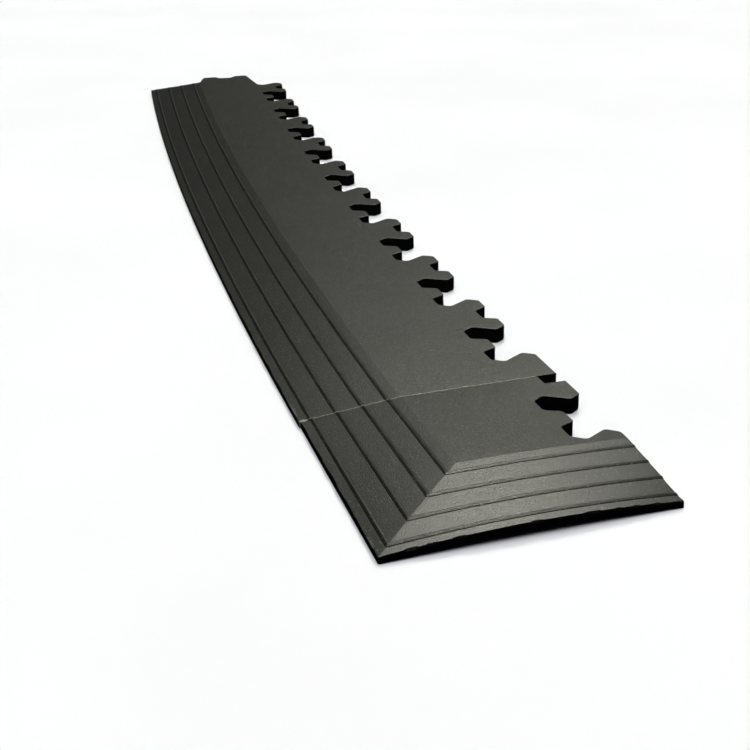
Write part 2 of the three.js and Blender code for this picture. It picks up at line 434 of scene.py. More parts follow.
@dataclass(frozen=True)
class MouldedRubber:
    """Black recycled-blend rubber, compression moulded in a spark-eroded steel mould.

    The eroded mould leaves a pebble grain that breaks a soft sheen into tiny points, the blend
    shows as small pale crumbs, and wax that has risen to the skin lightens it in clouds. The grain
    and the crumbs are drawn coarser than real ones, so that they show.
    """

    name: str
    body: str = "#121211"
    bloom: str = "#1a1a17"
    crumb: str = "#7d7a70"
    # cut: a darker colour for every wall and for the tear. It is painted shade, standing in for the
    # deep shade on the walls and in the hollow of the tear.
    cut: str = "#0d0d10"
    # Painted glint: pale bluish specks on the bevelled edge that stand in for light reflected off the
    # cut rubber.
    painted_glint: str = "#7b8592"
    roughness: float = 0.335
    sheen_break: float = 0.05
    ior: float = 1.52
    grain_mm: float = 1.2
    grain_depth_mm: float = 0.095
    cloud_mm: float = 70.0
    crumb_mm: float = 1.6
    glint_speck_mm: float = 2.0

    def material(self) -> bpy.types.Material:
        """Makes the rubber, with the grain of the mould over its colour.

        Returns:
            The material.
        """
        material = bpy.data.materials.new(self.name)
        material.use_nodes = True
        tree = material.node_tree
        tree.nodes.clear()
        place = add_node(tree, "ShaderNodeTexCoord").outputs["Object"]
        pebbles = add_node(
            tree,
            "ShaderNodeTexVoronoi",
            {"feature": "SMOOTH_F1", "Scale": per_mm(self.grain_mm / 2), "Smoothness": 0.6},
            {"Vector": place},
        ).outputs["Distance"]
        fine = add_node(
            tree,
            "ShaderNodeTexNoise",
            {"Scale": per_mm(self.grain_mm), "Detail": 3.0, "Roughness": 0.6},
            {"Vector": place},
        ).outputs["Fac"]
        relief = add_node(tree, "ShaderNodeMath", {"operation": "ADD"}, {0: pebbles, 1: fine})
        bump = add_node(
            tree,
            "ShaderNodeBump",
            {"Strength": 1.0, "Distance": self.grain_depth_mm * MM},
            {"Height": relief.outputs[0]},
        ).outputs["Normal"]
        sheen = add_node(
            tree,
            "ShaderNodeMapRange",
            {
                "From Min": 0.35,
                "From Max": 0.65,
                "To Min": self.roughness - self.sheen_break,
                "To Max": self.roughness + self.sheen_break,
            },
            {"Value": fine},
        ).outputs["Result"]
        colour = self.painted_light(tree, place, self.skin(tree, place))
        shader = add_node(
            tree,
            "ShaderNodeBsdfPrincipled",
            {"IOR": self.ior},
            {"Base Color": colour, "Roughness": sheen, "Normal": bump},
        )
        add_node(tree, "ShaderNodeOutputMaterial", {}, {"Surface": shader.outputs["BSDF"]})
        return material

    def skin(self, tree: bpy.types.NodeTree, place: bpy.types.NodeSocket) -> bpy.types.NodeSocket:
        """Colours the skin as it left the mould, with clouds of wax and pale crumbs.

        Args:
            tree: Nodes of the material.
            place: Place on the moulding.

        Returns:
            The colour.
        """
        cloud = add_node(
            tree,
            "ShaderNodeTexNoise",
            {"Scale": per_mm(self.cloud_mm), "Detail": 4.0, "Roughness": 0.6},
            {"Vector": place},
        ).outputs["Fac"]
        wax = add_node(
            tree, "ShaderNodeMapRange", {"From Min": 0.35, "From Max": 0.75}, {"Value": cloud}
        ).outputs["Result"]
        clouded = add_node(
            tree,
            "ShaderNodeMix",
            {"data_type": "RGBA", 6: linear(self.body), 7: linear(self.bloom)},
            {0: wax},
        ).outputs[2]
        crumbs = add_node(
            tree,
            "ShaderNodeTexVoronoi",
            {"Scale": per_mm(self.crumb_mm), "Randomness": 1.0},
            {"Vector": place},
        )
        lot = add_node(
            tree, "ShaderNodeSeparateColor", {}, {"Color": crumbs.outputs["Color"]}
        ).outputs["Red"]
        rare = add_node(
            tree,
            "ShaderNodeMapRange",
            {"From Min": 0.5, "From Max": 1.0, "To Min": 0.0, "To Max": 0.8},
            {"Value": lot},
        ).outputs["Result"]
        heart = add_node(
            tree,
            "ShaderNodeMapRange",
            {"From Min": 0.42, "From Max": 0.1, "To Min": 0.0, "To Max": 1.0},
            {"Value": crumbs.outputs["Distance"]},
        ).outputs["Result"]
        speck = add_node(tree, "ShaderNodeMath", {"operation": "MULTIPLY"}, {0: rare, 1: heart})
        return add_node(
            tree,
            "ShaderNodeMix",
            {"data_type": "RGBA", 7: linear(self.crumb)},
            {0: speck.outputs[0], 6: clouded},
        ).outputs[2]

    def painted_light(
        self, tree: bpy.types.NodeTree, place: bpy.types.NodeSocket, skin: bpy.types.NodeSocket
    ) -> bpy.types.NodeSocket:
        """Darkens the skin with painted shade on the walls and in the tear, and lays pale specks of
        painted glint where the bevelled edge would reflect light.

        Args:
            tree: Nodes of the material.
            place: Place on the moulding.
            skin: Colour of the skin before the painted shade and the painted glint.

        Returns:
            The colour.
        """
        # Painted shade: the walls and the tear are darkened towards the cut colour.
        painted_shade_mask = add_node(tree, "ShaderNodeAttribute", {"attribute_name": "cut"}).outputs["Fac"]
        shaded_skin = add_node(
            tree,
            "ShaderNodeMix",
            {"data_type": "RGBA", 7: linear(self.cut)},
            {0: painted_shade_mask, 6: skin},
        ).outputs[2]
        # Painted glint: pale bluish specks that stand in for light reflected off the cut edge.
        glint_mask = add_node(tree, "ShaderNodeAttribute", {"attribute_name": "glint_paint"}).outputs["Fac"]
        smear = add_node(
            tree,
            "ShaderNodeTexNoise",
            {"Scale": per_mm(self.glint_speck_mm), "Detail": 4.0, "Roughness": 0.8},
            {"Vector": place},
        ).outputs["Fac"]
        specked_glint = add_node(tree, "ShaderNodeMath", {"operation": "MULTIPLY"}, {0: glint_mask, 1: smear})
        glint_amount = add_node(
            tree,
            "ShaderNodeMapRange",
            {"From Min": 0.36, "From Max": 0.5, "To Min": 0.0, "To Max": 0.6},
            {"Value": specked_glint.outputs[0]},
        ).outputs["Result"]
        return add_node(
            tree,
            "ShaderNodeMix",
            {"data_type": "RGBA", 7: linear(self.painted_glint)},
            {0: glint_amount, 6: shaded_skin},
        ).outputs[2]


@dataclass(frozen=True)
class CuredAdhesive:
    """Polyurethane adhesive, squeezed out of the joint and left to cure.

    It cures to a pale, slightly waxy skin, a little darker and browner where it is thick, with
    faint wrinkles that keep its sheen soft.
    """

    name: str
    body: str = "#bcbdac"
    thick: str = "#a09e8c"
    roughness: float = 0.42
    ior: float = 1.5
    mottle_mm: float = 3.0
    wrinkle_depth_mm: float = 0.08

    def material(self) -> bpy.types.Material:
        """Makes the adhesive, mottled and faintly wrinkled.

        Returns:
            The material.
        """
        material = bpy.data.materials.new(self.name)
        material.use_nodes = True
        tree = material.node_tree
        tree.nodes.clear()
        place = add_node(tree, "ShaderNodeTexCoord").outputs["Object"]
        mottle = add_node(
            tree,
            "ShaderNodeTexNoise",
            {"Scale": per_mm(self.mottle_mm), "Detail": 3.0},
            {"Vector": place},
        ).outputs["Fac"]
        thin = add_node(
            tree, "ShaderNodeMapRange", {"From Min": 0.35, "From Max": 0.6}, {"Value": mottle}
        ).outputs["Result"]
        colour = add_node(
            tree,
            "ShaderNodeMix",
            {"data_type": "RGBA", 6: linear(self.thick), 7: linear(self.body)},
            {0: thin},
        ).outputs[2]
        wrinkle = add_node(
            tree,
            "ShaderNodeBump",
            {"Strength": 0.8, "Distance": self.wrinkle_depth_mm * MM},
            {"Height": mottle},
        ).outputs["Normal"]
        shader = add_node(
            tree,
            "ShaderNodeBsdfPrincipled",
            {"IOR": self.ior, "Roughness": self.roughness},
            {"Base Color": colour, "Normal": wrinkle},
        )
        add_node(tree, "ShaderNodeOutputMaterial", {}, {"Surface": shader.outputs["BSDF"]})
        return material


@dataclass(frozen=True)
class PaintedFloor:
    """Matt white painted board, rolled on; it keeps a very faint cloud from the roller."""

    name: str = "matt_white_painted_board"
    light: str = "#f4f4f4"
    dark: str = "#efefef"
    roughness: float = 0.9
    specular: float = 0.1
    cloud_mm: float = 300.0

    def material(self) -> bpy.types.Material:
        """Makes the paint.

        Returns:
            The material.
        """
        material = bpy.data.materials.new(self.name)
        material.use_nodes = True
        tree = material.node_tree
        tree.nodes.clear()
        place = add_node(tree, "ShaderNodeTexCoord").outputs["Object"]
        cloud = add_node(
            tree, "ShaderNodeTexNoise", {"Scale": per_mm(self.cloud_mm)}, {"Vector": place}
        ).outputs["Fac"]
        thick = add_node(
            tree, "ShaderNodeMapRange", {"From Min": 0.3, "From Max": 0.7}, {"Value": cloud}
        ).outputs["Result"]
        colour = add_node(
            tree,
            "ShaderNodeMix",
            {"data_type": "RGBA", 6: linear(self.dark), 7: linear(self.light)},
            {0: thick},
        ).outputs[2]
        shader = add_node(
            tree,
            "ShaderNodeBsdfPrincipled",
            {"Roughness": self.roughness, "Specular IOR Level": self.specular},
            {"Base Color": colour},
        )
        add_node(tree, "ShaderNodeOutputMaterial", {}, {"Surface": shader.outputs["BSDF"]})
        return material


# ---- Pieces -------------------------------------------------------------------------------------


@dataclass
class Mesh:
    """A mesh while it is being made: corners, faces, and how much painted shade and painted glint each
    corner carries.
    """

    corners: list[Point3] = field(default_factory=list)
    faces: list[tuple[int, ...]] = field(default_factory=list)
    cut: list[float] = field(default_factory=list)
    glint_paint: list[float] = field(default_factory=list)

    def add(self, corner: Point3, cut: float = 0.0, glint_paint: float = 0.0) -> int:
        """Adds a corner.

        Args:
            corner: Where it is.
            cut: How much painted shade it carries, from 0 to 1.
            glint_paint: How much painted glint it carries, from 0 to 1.

        Returns:
            Its number.
        """
        self.corners.append(corner)
        self.cut.append(cut)
        self.glint_paint.append(glint_paint)
        return len(self.corners) - 1

    def object(self, name: str, place: Callable[[Point3], Vector]) -> bpy.types.Object:
        """Makes the Blender object, with smooth faces and crisp corners.

        Args:
            name: Name of the piece.
            place: Maps a drawn point to metres in the frame.

        Returns:
            The object, linked to the scene.
        """
        data = bpy.data.meshes.new(name)
        data.from_pydata([place(c) for c in self.corners], [], self.faces)
        # Stores each corner's painted shade and painted glint, which the rubber's material reads.
        for painted_mark, values in (("cut", self.cut), ("glint_paint", self.glint_paint)):
            data.attributes.new(painted_mark, "FLOAT", "POINT").data.foreach_set("value", values)
        data.validate()
        data.shade_smooth()
        data.set_sharp_from_angle(angle=CREASE)
        made = bpy.data.objects.new(name, data)
        bpy.context.scene.collection.objects.link(made)
        weighted = made.modifiers.new("flat_faces_stay_flat", "WEIGHTED_NORMAL")
        weighted.keep_sharp = True
        return made


@dataclass(frozen=True)
class KnifeCut:
    """How unevenly a hand knife trims the flash off the bevelled edge.

    Each kind of unevenness is a share of the depth, with the width of its humps in millimetres.

    Attributes:
        depth: The most that the knife goes in.
        waver: Slow wander of the blade.
        chip: Long chips, where their pattern stands over chip_from.
        snag: Short chips, where their pattern stands over snag_from.
        fray: Torn fibres.
    """

    depth: float = 1.7
    waver: float = 0.2
    waver_size: float = 21.0
    chip: float = 0.45
    chip_size: float = 17.0
    chip_from: float = 0.12
    snag: float = 0.35
    snag_size: float = 6.0
    snag_from: float = 0.2
    fray: float = 0.3
    fray_size: float = 2.6

    def bite(self, x: float, y: float) -> float:
        """How far the knife has gone in from the drawn edge.

        Args:
            x: Plan place on the edge.
            y: Plan place on the edge.

        Returns:
            The distance.
        """
        waver = self.waver * (0.5 + 0.5 * ripple(x, y, self.waver_size, Pattern.BLADE))
        chip = self.chip * (ripple(x, y, self.chip_size, Pattern.CHIP) > self.chip_from)
        snag = self.snag * (ripple(x, y, self.snag_size, Pattern.SNAG) > self.snag_from)
        fray = self.fray * abs(ripple(x, y, self.fray_size, Pattern.FRAY))
        return self.depth * (waver + chip + snag + fray)


@dataclass(frozen=True)
class GlintPatch:
    """A stretch of the long bevelled edge that carries a painted glint: pale specks that stand in for
    light reflected off the cut rubber.

    Attributes:
        start: Where along the edge it starts.
        end: Where along the edge it ends.
        reach: How far in it goes.
        fade: How soon it fades inward: at 1 it fades all the way, and more keeps it full for longer.
    """

    start: float
    end: float
    reach: float
    fade: float = 1.6

    def at(self, x: float, y: float) -> float:
        """How much painted glint a plan point carries.

        Args:
            x: Plan place.
            y: Plan place.

        Returns:
            A share from 0 to 1.
        """
        if not self.start < y < self.end or x >= self.reach:
            return 0.0
        along = math.sin(math.pi * (y - self.start) / (self.end - self.start))
        return min(1.0, self.fade * (1 - x / self.reach)) * along


@dataclass
class Moulding:
    """What the strip and the corner share: how a moulded rubber piece is made from its plan.

    Attributes:
        rim: Rounding of the moulded top edges, and joint_rim and knife_rim that of the cut ones.
        rim_rings: Where the rounding bends, as shares of it.
        fold_ease: Half the width of the soft fold between ramp and field.
        wall_rows: How far down the wall its rows of corners are, as shares of its height.
        flare: How fast the wall steps out again below a chip, in chip depths a wall height.
        tear_shade: How much painted shade darkens a tear for each millimetre of its depth.
        overrun: How far a ruling runs past the outline, so that it cuts right through.
    """

    name: str
    node: str
    slot: str
    finish: MouldedRubber
    origin: Vector
    section: RampSection = RampSection()
    teeth: Teeth = Teeth()
    knife: KnifeCut = KnifeCut()
    glint_patches: tuple[GlintPatch, ...] = ()
    rim: float = 0.5
    joint_rim: float = 0.12
    knife_rim: float = 0.12
    rim_rings: tuple[float, ...] = (0.05, 0.2, 0.5, 1.0)
    ripple_height: float = 0.07
    ripple_size: float = 45.0
    ruling_step: float = 5.0
    plan_step: float = 1.6
    fold_ease: float = 0.35
    field_step: float = 9.0
    underside_step: float = 12.0
    wall_rows: tuple[float, ...] = (0.3, 0.6, 0.9, 1.0)
    flare: float = 2.5
    foot_round: float = 0.3
    knife_marks: float = 0.12
    mould_marks: float = 0.03
    mark_size: float = 2.5
    mark_drift: Point = (11.0, -7.0)
    tear_shade: float = 4.0
    overrun: float = 1.0

    def outline(self) -> Line:
        """Returns the closed plan outline, counter-clockwise."""
        raise NotImplementedError

    def rulings(self) -> list[Line]:
        """Returns the lines along which the section bends."""
        raise NotImplementedError

    def levels(self) -> list[float]:
        """Works out where the section bends, with a close pair at the last, soft fold.

        Returns:
            Distances in from the bevelled edge.
        """
        bends = [x for x, _ in self.section.breaks()[1:]]
        fold = self.section.ramp_width
        return [*bends, fold - self.fold_ease, fold + self.fold_ease]

    def level(self, x: float, y: float) -> float:
        """Returns how far in from the bevelled edge a plan point counts as."""
        raise NotImplementedError

    def lift(self, x: float, y: float) -> float:
        """Returns how far the underside stands off the floor."""
        raise NotImplementedError

    def rim_at(self, x: float, y: float) -> float:
        """Returns the rounding of the top edge at a plan point."""
        raise NotImplementedError

    def placed(self, corner: Point3) -> Vector:
        """Maps a drawn point to metres in the frame."""
        raise NotImplementedError

    def tear(self, x: float, y: float) -> float:
        """Returns how deep the top is torn away at a plan point."""
        return 0.0

    def build(self) -> bpy.types.Object:
        """Builds the top skin over the plan, and the walls and the underside below it.

        Returns:
            The moulding, one closed mesh in the frame.
        """
        outline = self.trimmed(self.outline())
        rings = [inset(outline, self.rim * share) for share in self.rim_rings]
        closed = [[*ring, ring[0]] for ring in rings]
        cut = cut_up(outline, closed + self.rulings(), self.grid(outline))
        fence = BVHTree.FromPolygons(
            [(x, y, z) for x, y in outline for z in (-1.0, 1.0)],
            [
                (2 * i, 2 * i + 1, 2 * j + 1, 2 * j)
                for i, j in ((i, (i + 1) % len(outline)) for i in range(len(outline)))
            ],
        )
        section = self.section.breaks()
        mesh = Mesh()
        for x, y in cut.points:
            _, _, _, distance = fence.find_nearest(Vector((x, y, 0.0)))
            torn = self.tear(x, y)
            top = self.top(section, x, y) - self.rolled(x, y, distance) - torn
            # Painted shade darkens the tear the deeper it is, and the painted glint is laid on where
            # the cut edge would reflect light.
            mesh.add((x, y, top), min(1.0, self.tear_shade * torn), self.painted_glint(x, y))
        mesh.faces += cut.triangles
        self.add_walls(mesh, cut.triangles)
        return mesh.object(self.name, self.placed)

    def trimmed(self, outline: Sequence[Point]) -> Line:
        """Makes the bevelled edge uneven, as a knife leaves it when the flash is cut away.

        Args:
            outline: The plan as it was drawn.

        Returns:
            The plan with the knife's cut, point for point.
        """
        out: Line = []
        for x, y in outline:
            on_bevel = self.level(x, y) <= WELD
            out.append(self.inward(x, y, self.knife.bite(x, y)) if on_bevel else (x, y))
        return out

    def painted_glint(self, x: float, y: float) -> float:
        """Returns how much painted glint the moulding carries at a plan point, from 0 to 1."""
        return max((glint_paint.at(x, y) for glint_paint in self.glint_patches), default=0.0)

    def chipped(self, x: float, y: float, outward: Vector) -> float:
        """How far in from the drawn bevelled edge the top of a wall stands.

        Args:
            x: Plan place of the top of the wall.
            y: Plan place of the top of the wall.
            outward: Direction away from the moulding.

        Returns:
            The distance to the drawn edge, or zero on the other walls.
        """
        here = self.level(x, y)
        faces_out = self.level(x + outward.x * here, y + outward.y * here) < here / 2
        return here if faces_out and here < 2 * self.knife.depth else 0.0

    def inward(self, x: float, y: float, distance: float) -> Point:
        """Moves a point of the bevelled edge in from it."""
        return (x + distance, y)

    def grid(self, outline: Sequence[Point]) -> Line:
        """Spreads free points over the flat field, so that it can carry a slight unevenness.

        Args:
            outline: The plan.

        Returns:
            The points.
        """
        edge = self.section.ramp_width + self.field_step / 2
        points = self.inside(inset(outline, 2 * self.rim), self.field_step)
        return [(x, y) for x, y in points if self.level(x, y) > edge]

    def inside(self, outline: Sequence[Point], spacing: float) -> Line:
        """Picks the points of a square grid that lie inside an outline.

        Args:
            outline: The outline.
            spacing: The most that two neighbours may be apart.

        Returns:
            The points.
        """
        plate = BVHTree.FromPolygons([(x, y, 0.0) for x, y in outline], [tuple(range(len(outline)))])
        xs = ruled(min(x for x, _ in outline), max(x for x, _ in outline), spacing)
        ys = ruled(min(y for _, y in outline), max(y for _, y in outline), spacing)
        down = Vector((0.0, 0.0, -1.0))
        return [(x, y) for x in xs for y in ys if plate.ray_cast(Vector((x, y, 1.0)), down)[0]]

    def top(self, section: Sequence[Point], x: float, y: float) -> float:
        """Height of the top skin at a plan point, before its edges are rounded.

        Args:
            section: The section, as RampSection.breaks gives it.
            x: Plan place.
            y: Plan place.

        Returns:
            The height above the floor.
        """
        level = self.level(x, y)
        height = section[-1][1]
        for (x0, z0), (x1, z1) in zip(section, section[1:]):
            if level <= x1:
                height = z0 + (z1 - z0) * max(0.0, level - x0) / (x1 - x0)
                break
        uneven = self.ripple_height * ripple(x, y, self.ripple_size, Pattern.FIELD)
        return height + uneven + self.lift(x, y)

    def rolled(self, x: float, y: float, distance: float) -> float:
        """How far the rounded rim has dropped.

        Args:
            x: Plan place.
            y: Plan place.
            distance: Distance from there to the outline.

        Returns:
            The drop below the unrounded skin.
        """
        radius = self.rim_at(x, y)
        if distance >= radius:
            return 0.0
        return radius - math.sqrt(max(0.0, radius**2 - (radius - distance) ** 2))

    def add_walls(self, mesh: Mesh, triangles: Sequence[tuple[int, int, int]]) -> None:
        """Adds the upright walls below the rim of the top skin, and the underside.

        Args:
            mesh: The mesh, which holds the top skin.
            triangles: Faces of the top skin.
        """
        sides = {(t[i], t[(i + 1) % 3]) for t in triangles for i in range(3)}
        rim = [(a, b) for a, b in sides if (b, a) not in sides]
        outward: dict[int, Vector] = {}
        for a, b in rim:
            run = Vector(mesh.corners[b][:2]) - Vector(mesh.corners[a][:2])
            out = Vector((run.y, -run.x))
            for i in (a, b):
                outward[i] = outward.get(i, Vector((0.0, 0.0))) + out
        following = dict(rim)
        loop = [rim[0][0]]
        while following[loop[-1]] != loop[0]:
            loop.append(following[loop[-1]])
        columns: dict[int, list[int]] = {}
        for i in loop:
            out = outward[i]
            x, y, top = mesh.corners[i]
            foot = self.lift(x, y)
            direction = out.normalized()
            columns[i] = [i]
            chipped = self.chipped(x, y, direction)
            painted_light = self.painted_glint(x, y)
            for share in self.wall_rows:
                rough = self.marks(x, y, share) + chipped * min(1.0, self.flare * share)
                if share == 1.0:
                    rough -= self.foot_round
                place = Vector((x, y)) + direction * rough
                low = top + (foot - top) * share
                # Every wall takes the full painted shade, standing in for the deep shade on walls that
                # face away from the key light; the painted glint fades down the wall.
                columns[i].append(mesh.add((place.x, place.y, low), 1.0, painted_light * (1 - share)))
        for a, b in rim:
            for row in range(len(self.wall_rows)):
                mesh.faces.append(
                    (columns[b][row], columns[a][row], columns[a][row + 1], columns[b][row + 1])
                )
        self.add_underside(mesh, [columns[i][-1] for i in loop])

    def marks(self, x: float, y: float, share: float) -> float:
        """How far a mark on the wall stands out of the drawn outline.

        Args:
            x: Plan place of the top of the wall.
            y: Plan place of the top of the wall.
            share: How far down the wall, as a share of its height.

        Returns:
            The distance, negative for a dent.
        """
        height = self.knife_marks if self.level(x, y) < self.rim else self.mould_marks
        drift_x, drift_y = self.mark_drift
        along = (x + drift_x * share, y + drift_y * share)
        return height * ripple(*along, self.mark_size, Pattern.WALL, share)

    def add_underside(self, mesh: Mesh, feet: Sequence[int]) -> None:
        """Closes the mesh below, following the arch where there is one.

        Args:
            mesh: The mesh.
            feet: Lowest corners of the walls, in order round the plan.
        """
        edge = [mesh.corners[i][:2] for i in feet]
        cut = cut_up(edge, [], self.inside(inset(edge, self.foot_round), self.underside_step))
        index = list(feet)
        index += [mesh.add((x, y, self.lift(x, y))) for x, y in cut.points[len(feet) :]]
        mesh.faces += [(index[a], index[c], index[b]) for a, b, c in cut.triangles]

    def dress(self, made: bpy.types.Object) -> None:
        """Gives the moulding its rubber and ties it to the frame.

        Args:
            made: The mesh that build returned.
        """
        made.data.materials.append(self.finish.material())
        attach(made, "root")
        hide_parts(self.node)


@dataclass
class StraightRamp(Moulding):
    """The long strip: four ribs, jigsaw teeth, a square shoulder and a tongue at the far end."""

    length: float = 966.0
    start: float = 151.2
    knife: KnifeCut = KnifeCut(depth=0.6)
    end_gap_inset: float = 9.0
    gap_count: int = 9
    bow_radius: float = 9650.0
    tongue_width: float = 54.5
    tongue_inset: float = 8.0
    tongue_flare: float = 6.5

    def outline(self) -> Line:
        """Draws the plan while the strip is still straight, y from its joined end.

        Returns:
            The closed outline, counter-clockwise.
        """
        teeth = self.teeth
        last_gap = self.length - self.end_gap_inset
        first_gap = last_gap - self.gap_count * teeth.period
        edge: Line = [(teeth.tip_line, 0.0)]
        for i in range(self.gap_count):
            middle = first_gap + i * teeth.period
            edge += teeth.gap(middle) + teeth.notch(middle + teeth.period / 2)
        mouth_to_floor = 4  # corners of the last gap, which runs out at the far end without a knob
        edge += teeth.half_gap(last_gap, Half.NEAR)[::-1][:mouth_to_floor]
        tip = self.length + teeth.depth
        near = teeth.root_line - self.tongue_inset
        far = near - self.tongue_width
        middle = (near + far) / 2
        edge += [
            (near, tip),
            (middle + teeth.knob_base / 2, tip),
            (middle + teeth.knob_top / 2, tip - teeth.notch_depth),
            (middle - teeth.knob_top / 2, tip - teeth.notch_depth),
            (middle - teeth.knob_base / 2, tip),
            (far, tip),
            (far - self.tongue_flare, self.length),
            (0.0, self.length),
        ]
        loop = [*teeth.smooth(edge), (0.0, 0.0), (teeth.tip_line, 0.0)]
        return divided(loop, self.plan_step)[:-1]

    def rulings(self) -> list[Line]:
        """Returns straight lines along the strip."""
        run = ruled(-self.overrun, self.length + self.overrun, self.ruling_step)
        return [[(x, y) for y in run] for x in self.levels()]

    def level(self, x: float, y: float) -> float:
        """Returns the distance in from the long bevelled edge."""
        return x

    def lift(self, x: float, y: float) -> float:
        """Returns zero, because the strip lies flat."""
        return 0.0

    def rim_at(self, x: float, y: float) -> float:
        """Rounding of the top edge: crisp at the joint and the knife cut, and moulded elsewhere.

        Args:
            x: Plan place.
            y: Plan place.

        Returns:
            The radius.
        """
        if y < self.joint_rim:
            return self.joint_rim
        return self.knife_rim if x < self.section.lip_width / 2 else self.rim

    def placed(self, corner: Point3) -> Vector:
        """Bows the straight drawing and sets it in the frame.

        Args:
            corner: A drawn point in millimetres.

        Returns:
            Its place in metres.
        """
        x, y, z = corner
        centre = self.teeth.tip_line / 2 + self.bow_radius
        heading = y / self.bow_radius
        reach = centre - x
        bowed = Vector((centre - reach * math.cos(heading), reach * math.sin(heading), z))
        bowed.y += self.start
        return (bowed + self.origin) * MM


@dataclass
class CornerRamp(Moulding):
    """The mitred corner: ribs round two sides, one gap between teeth, and a low arch.

    Attributes:
        mitre_round: How far the ribs are eased where they turn, within mitre_reach of the mitre.
        plan_round: Rounding of its outer corners.
        long_side_share: Depth of the knife's cut on the long side, as a share of the near side's.
        tear_taper: How much shorter the tear reaches in at its two ends, and tear_jag how unevenly.
        tear_run: Start and end of the finer lines that carry the tear, and their step.
        tear_lines: How far in those lines are.
    """

    length: float = 150.8
    gap_to_joint: float = 56.1
    step_length: float = 10.8
    step_back: float = 13.2
    shift: float = 0.8
    arch: float = 4.0
    mitre_round: float = 0.3
    mitre_reach: float = 1.2
    turn_step: float = 0.3
    arm_step: float = 3.0
    plan_round: float = 1.5
    plan_round_steps: int = 4
    long_side_share: float = 0.35
    tear_middle: float = 12.5
    tear_half: float = 9.0
    tear_reach: float = 1.1
    tear_depth: float = 0.5
    tear_taper: float = 0.8
    tear_jag: float = 0.4
    tear_jag_size: float = 1.5
    tear_run: Point3 = (6.0, 21.0, 0.8)
    tear_lines: Point = (0.8, 1.2)

    def outline(self) -> Line:
        """Draws the plan of the corner.

        Returns:
            The closed outline, counter-clockwise.
        """
        teeth = self.teeth
        tip_end = self.length - self.step_length
        step = teeth.tip_line - self.step_back
        edge = teeth.smooth(
            [
                (teeth.tip_line, 0.0),
                *teeth.gap(self.length - self.gap_to_joint),
                (teeth.tip_line, tip_end),
            ]
        )
        sides = [(0.0, self.length), (0.0, 0.0), (teeth.tip_line, 0.0)]
        loop = [
            *edge,
            (step, tip_end),
            (step, self.length),
            *rounded(sides, self.plan_round, self.plan_round_steps),
        ]
        return divided(loop, self.plan_step)[:-1]

    def rulings(self) -> list[Line]:
        """Rules lines that run down the long side, round the mitre and out to the right.

        Returns:
            The lines, with three along the mitre and a few finer ones for the tear.
        """
        far = self.teeth.tip_line + self.overrun
        up = self.length + self.overrun
        lines = []
        for d in self.levels():
            turn = []
            for t in ruled(self.mitre_reach, 0.0, self.turn_step):
                bulge = self.mitre_round * (1 - t / self.mitre_reach) ** 2
                turn.append((d + bulge, d + bulge + t))
            down = [(d, y) for y in ruled(up, d + self.mitre_reach, self.arm_step)]
            out = [(x, d) for x in ruled(d + self.mitre_reach, far, self.arm_step)]
            lines.append(down[:-1] + turn + [(y, x) for x, y in turn[-2::-1]] + out[1:])
        ease = self.fold_ease
        mitre = ruled(self.overrun, self.section.ramp_width, self.arm_step)
        across = [[(x + a, x + b) for x in mitre] for a, b in ((0.0, 0.0), (ease, 0.0), (0.0, ease))]
        torn = [[(self.teeth.tip_line - d, y) for y in ruled(*self.tear_run)] for d in self.tear_lines]
        return lines + across + torn

    def level(self, x: float, y: float) -> float:
        """Distance in from the nearer of the two bevelled edges, eased at the mitre.

        Args:
            x: Plan place.
            y: Plan place.

        Returns:
            The distance that the section is read at.
        """
        off = abs(x - y)
        if off >= self.mitre_reach or min(x, y) < WELD:
            return min(x, y)
        return min(x, y) - self.mitre_round * (1 - off / self.mitre_reach) ** 2

    def lift(self, x: float, y: float) -> float:
        """Rise of the arch, which eases to nothing at the joint and the two sides.

        Args:
            x: Plan place.
            y: Plan place.

        Returns:
            How far the underside stands off the floor.
        """
        half = self.teeth.tip_line / 2
        from_middle = (x - half) / half
        return max(0.0, self.arch * (1 - y / self.length) * (1 - from_middle**2))

    def rim_at(self, x: float, y: float) -> float:
        """Rounding of the top edge: crisp at the joint and the knife cut, and moulded elsewhere.

        Args:
            x: Plan place.
            y: Plan place.

        Returns:
            The radius.
        """
        if self.length - y < self.joint_rim:
            return self.joint_rim
        return self.knife_rim if min(x, y) < self.section.lip_width / 2 else self.rim

    def inward(self, x: float, y: float, distance: float) -> Point:
        """Moves a point of either bevelled edge in from it, and less on the long side."""
        return (x + self.long_side_share * distance * (x < WELD), y + distance * (y < WELD))

    def tear(self, x: float, y: float) -> float:
        """Depth of the piece torn out of the right-hand end.

        Args:
            x: Plan place.
            y: Plan place.

        Returns:
            The depth, which is zero beyond the tear.
        """
        along = abs(y - self.tear_middle) / self.tear_half
        inward = (self.teeth.tip_line - x) / self.tear_reach
        if along >= 1.0 or inward >= 1.0:
            return 0.0
        jag = self.tear_jag * ripple(x, y, self.tear_jag_size, Pattern.TEAR)
        torn_in = 1 - along**2 * (self.tear_taper + jag)
        return self.tear_depth * max(0.0, torn_in - inward) ** 0.5

    def placed(self, corner: Point3) -> Vector:
        """Sets a drawn point in the frame, in metres."""
        return (Vector(corner) + Vector((self.shift, 0.0, 0.0)) + self.origin) * MM


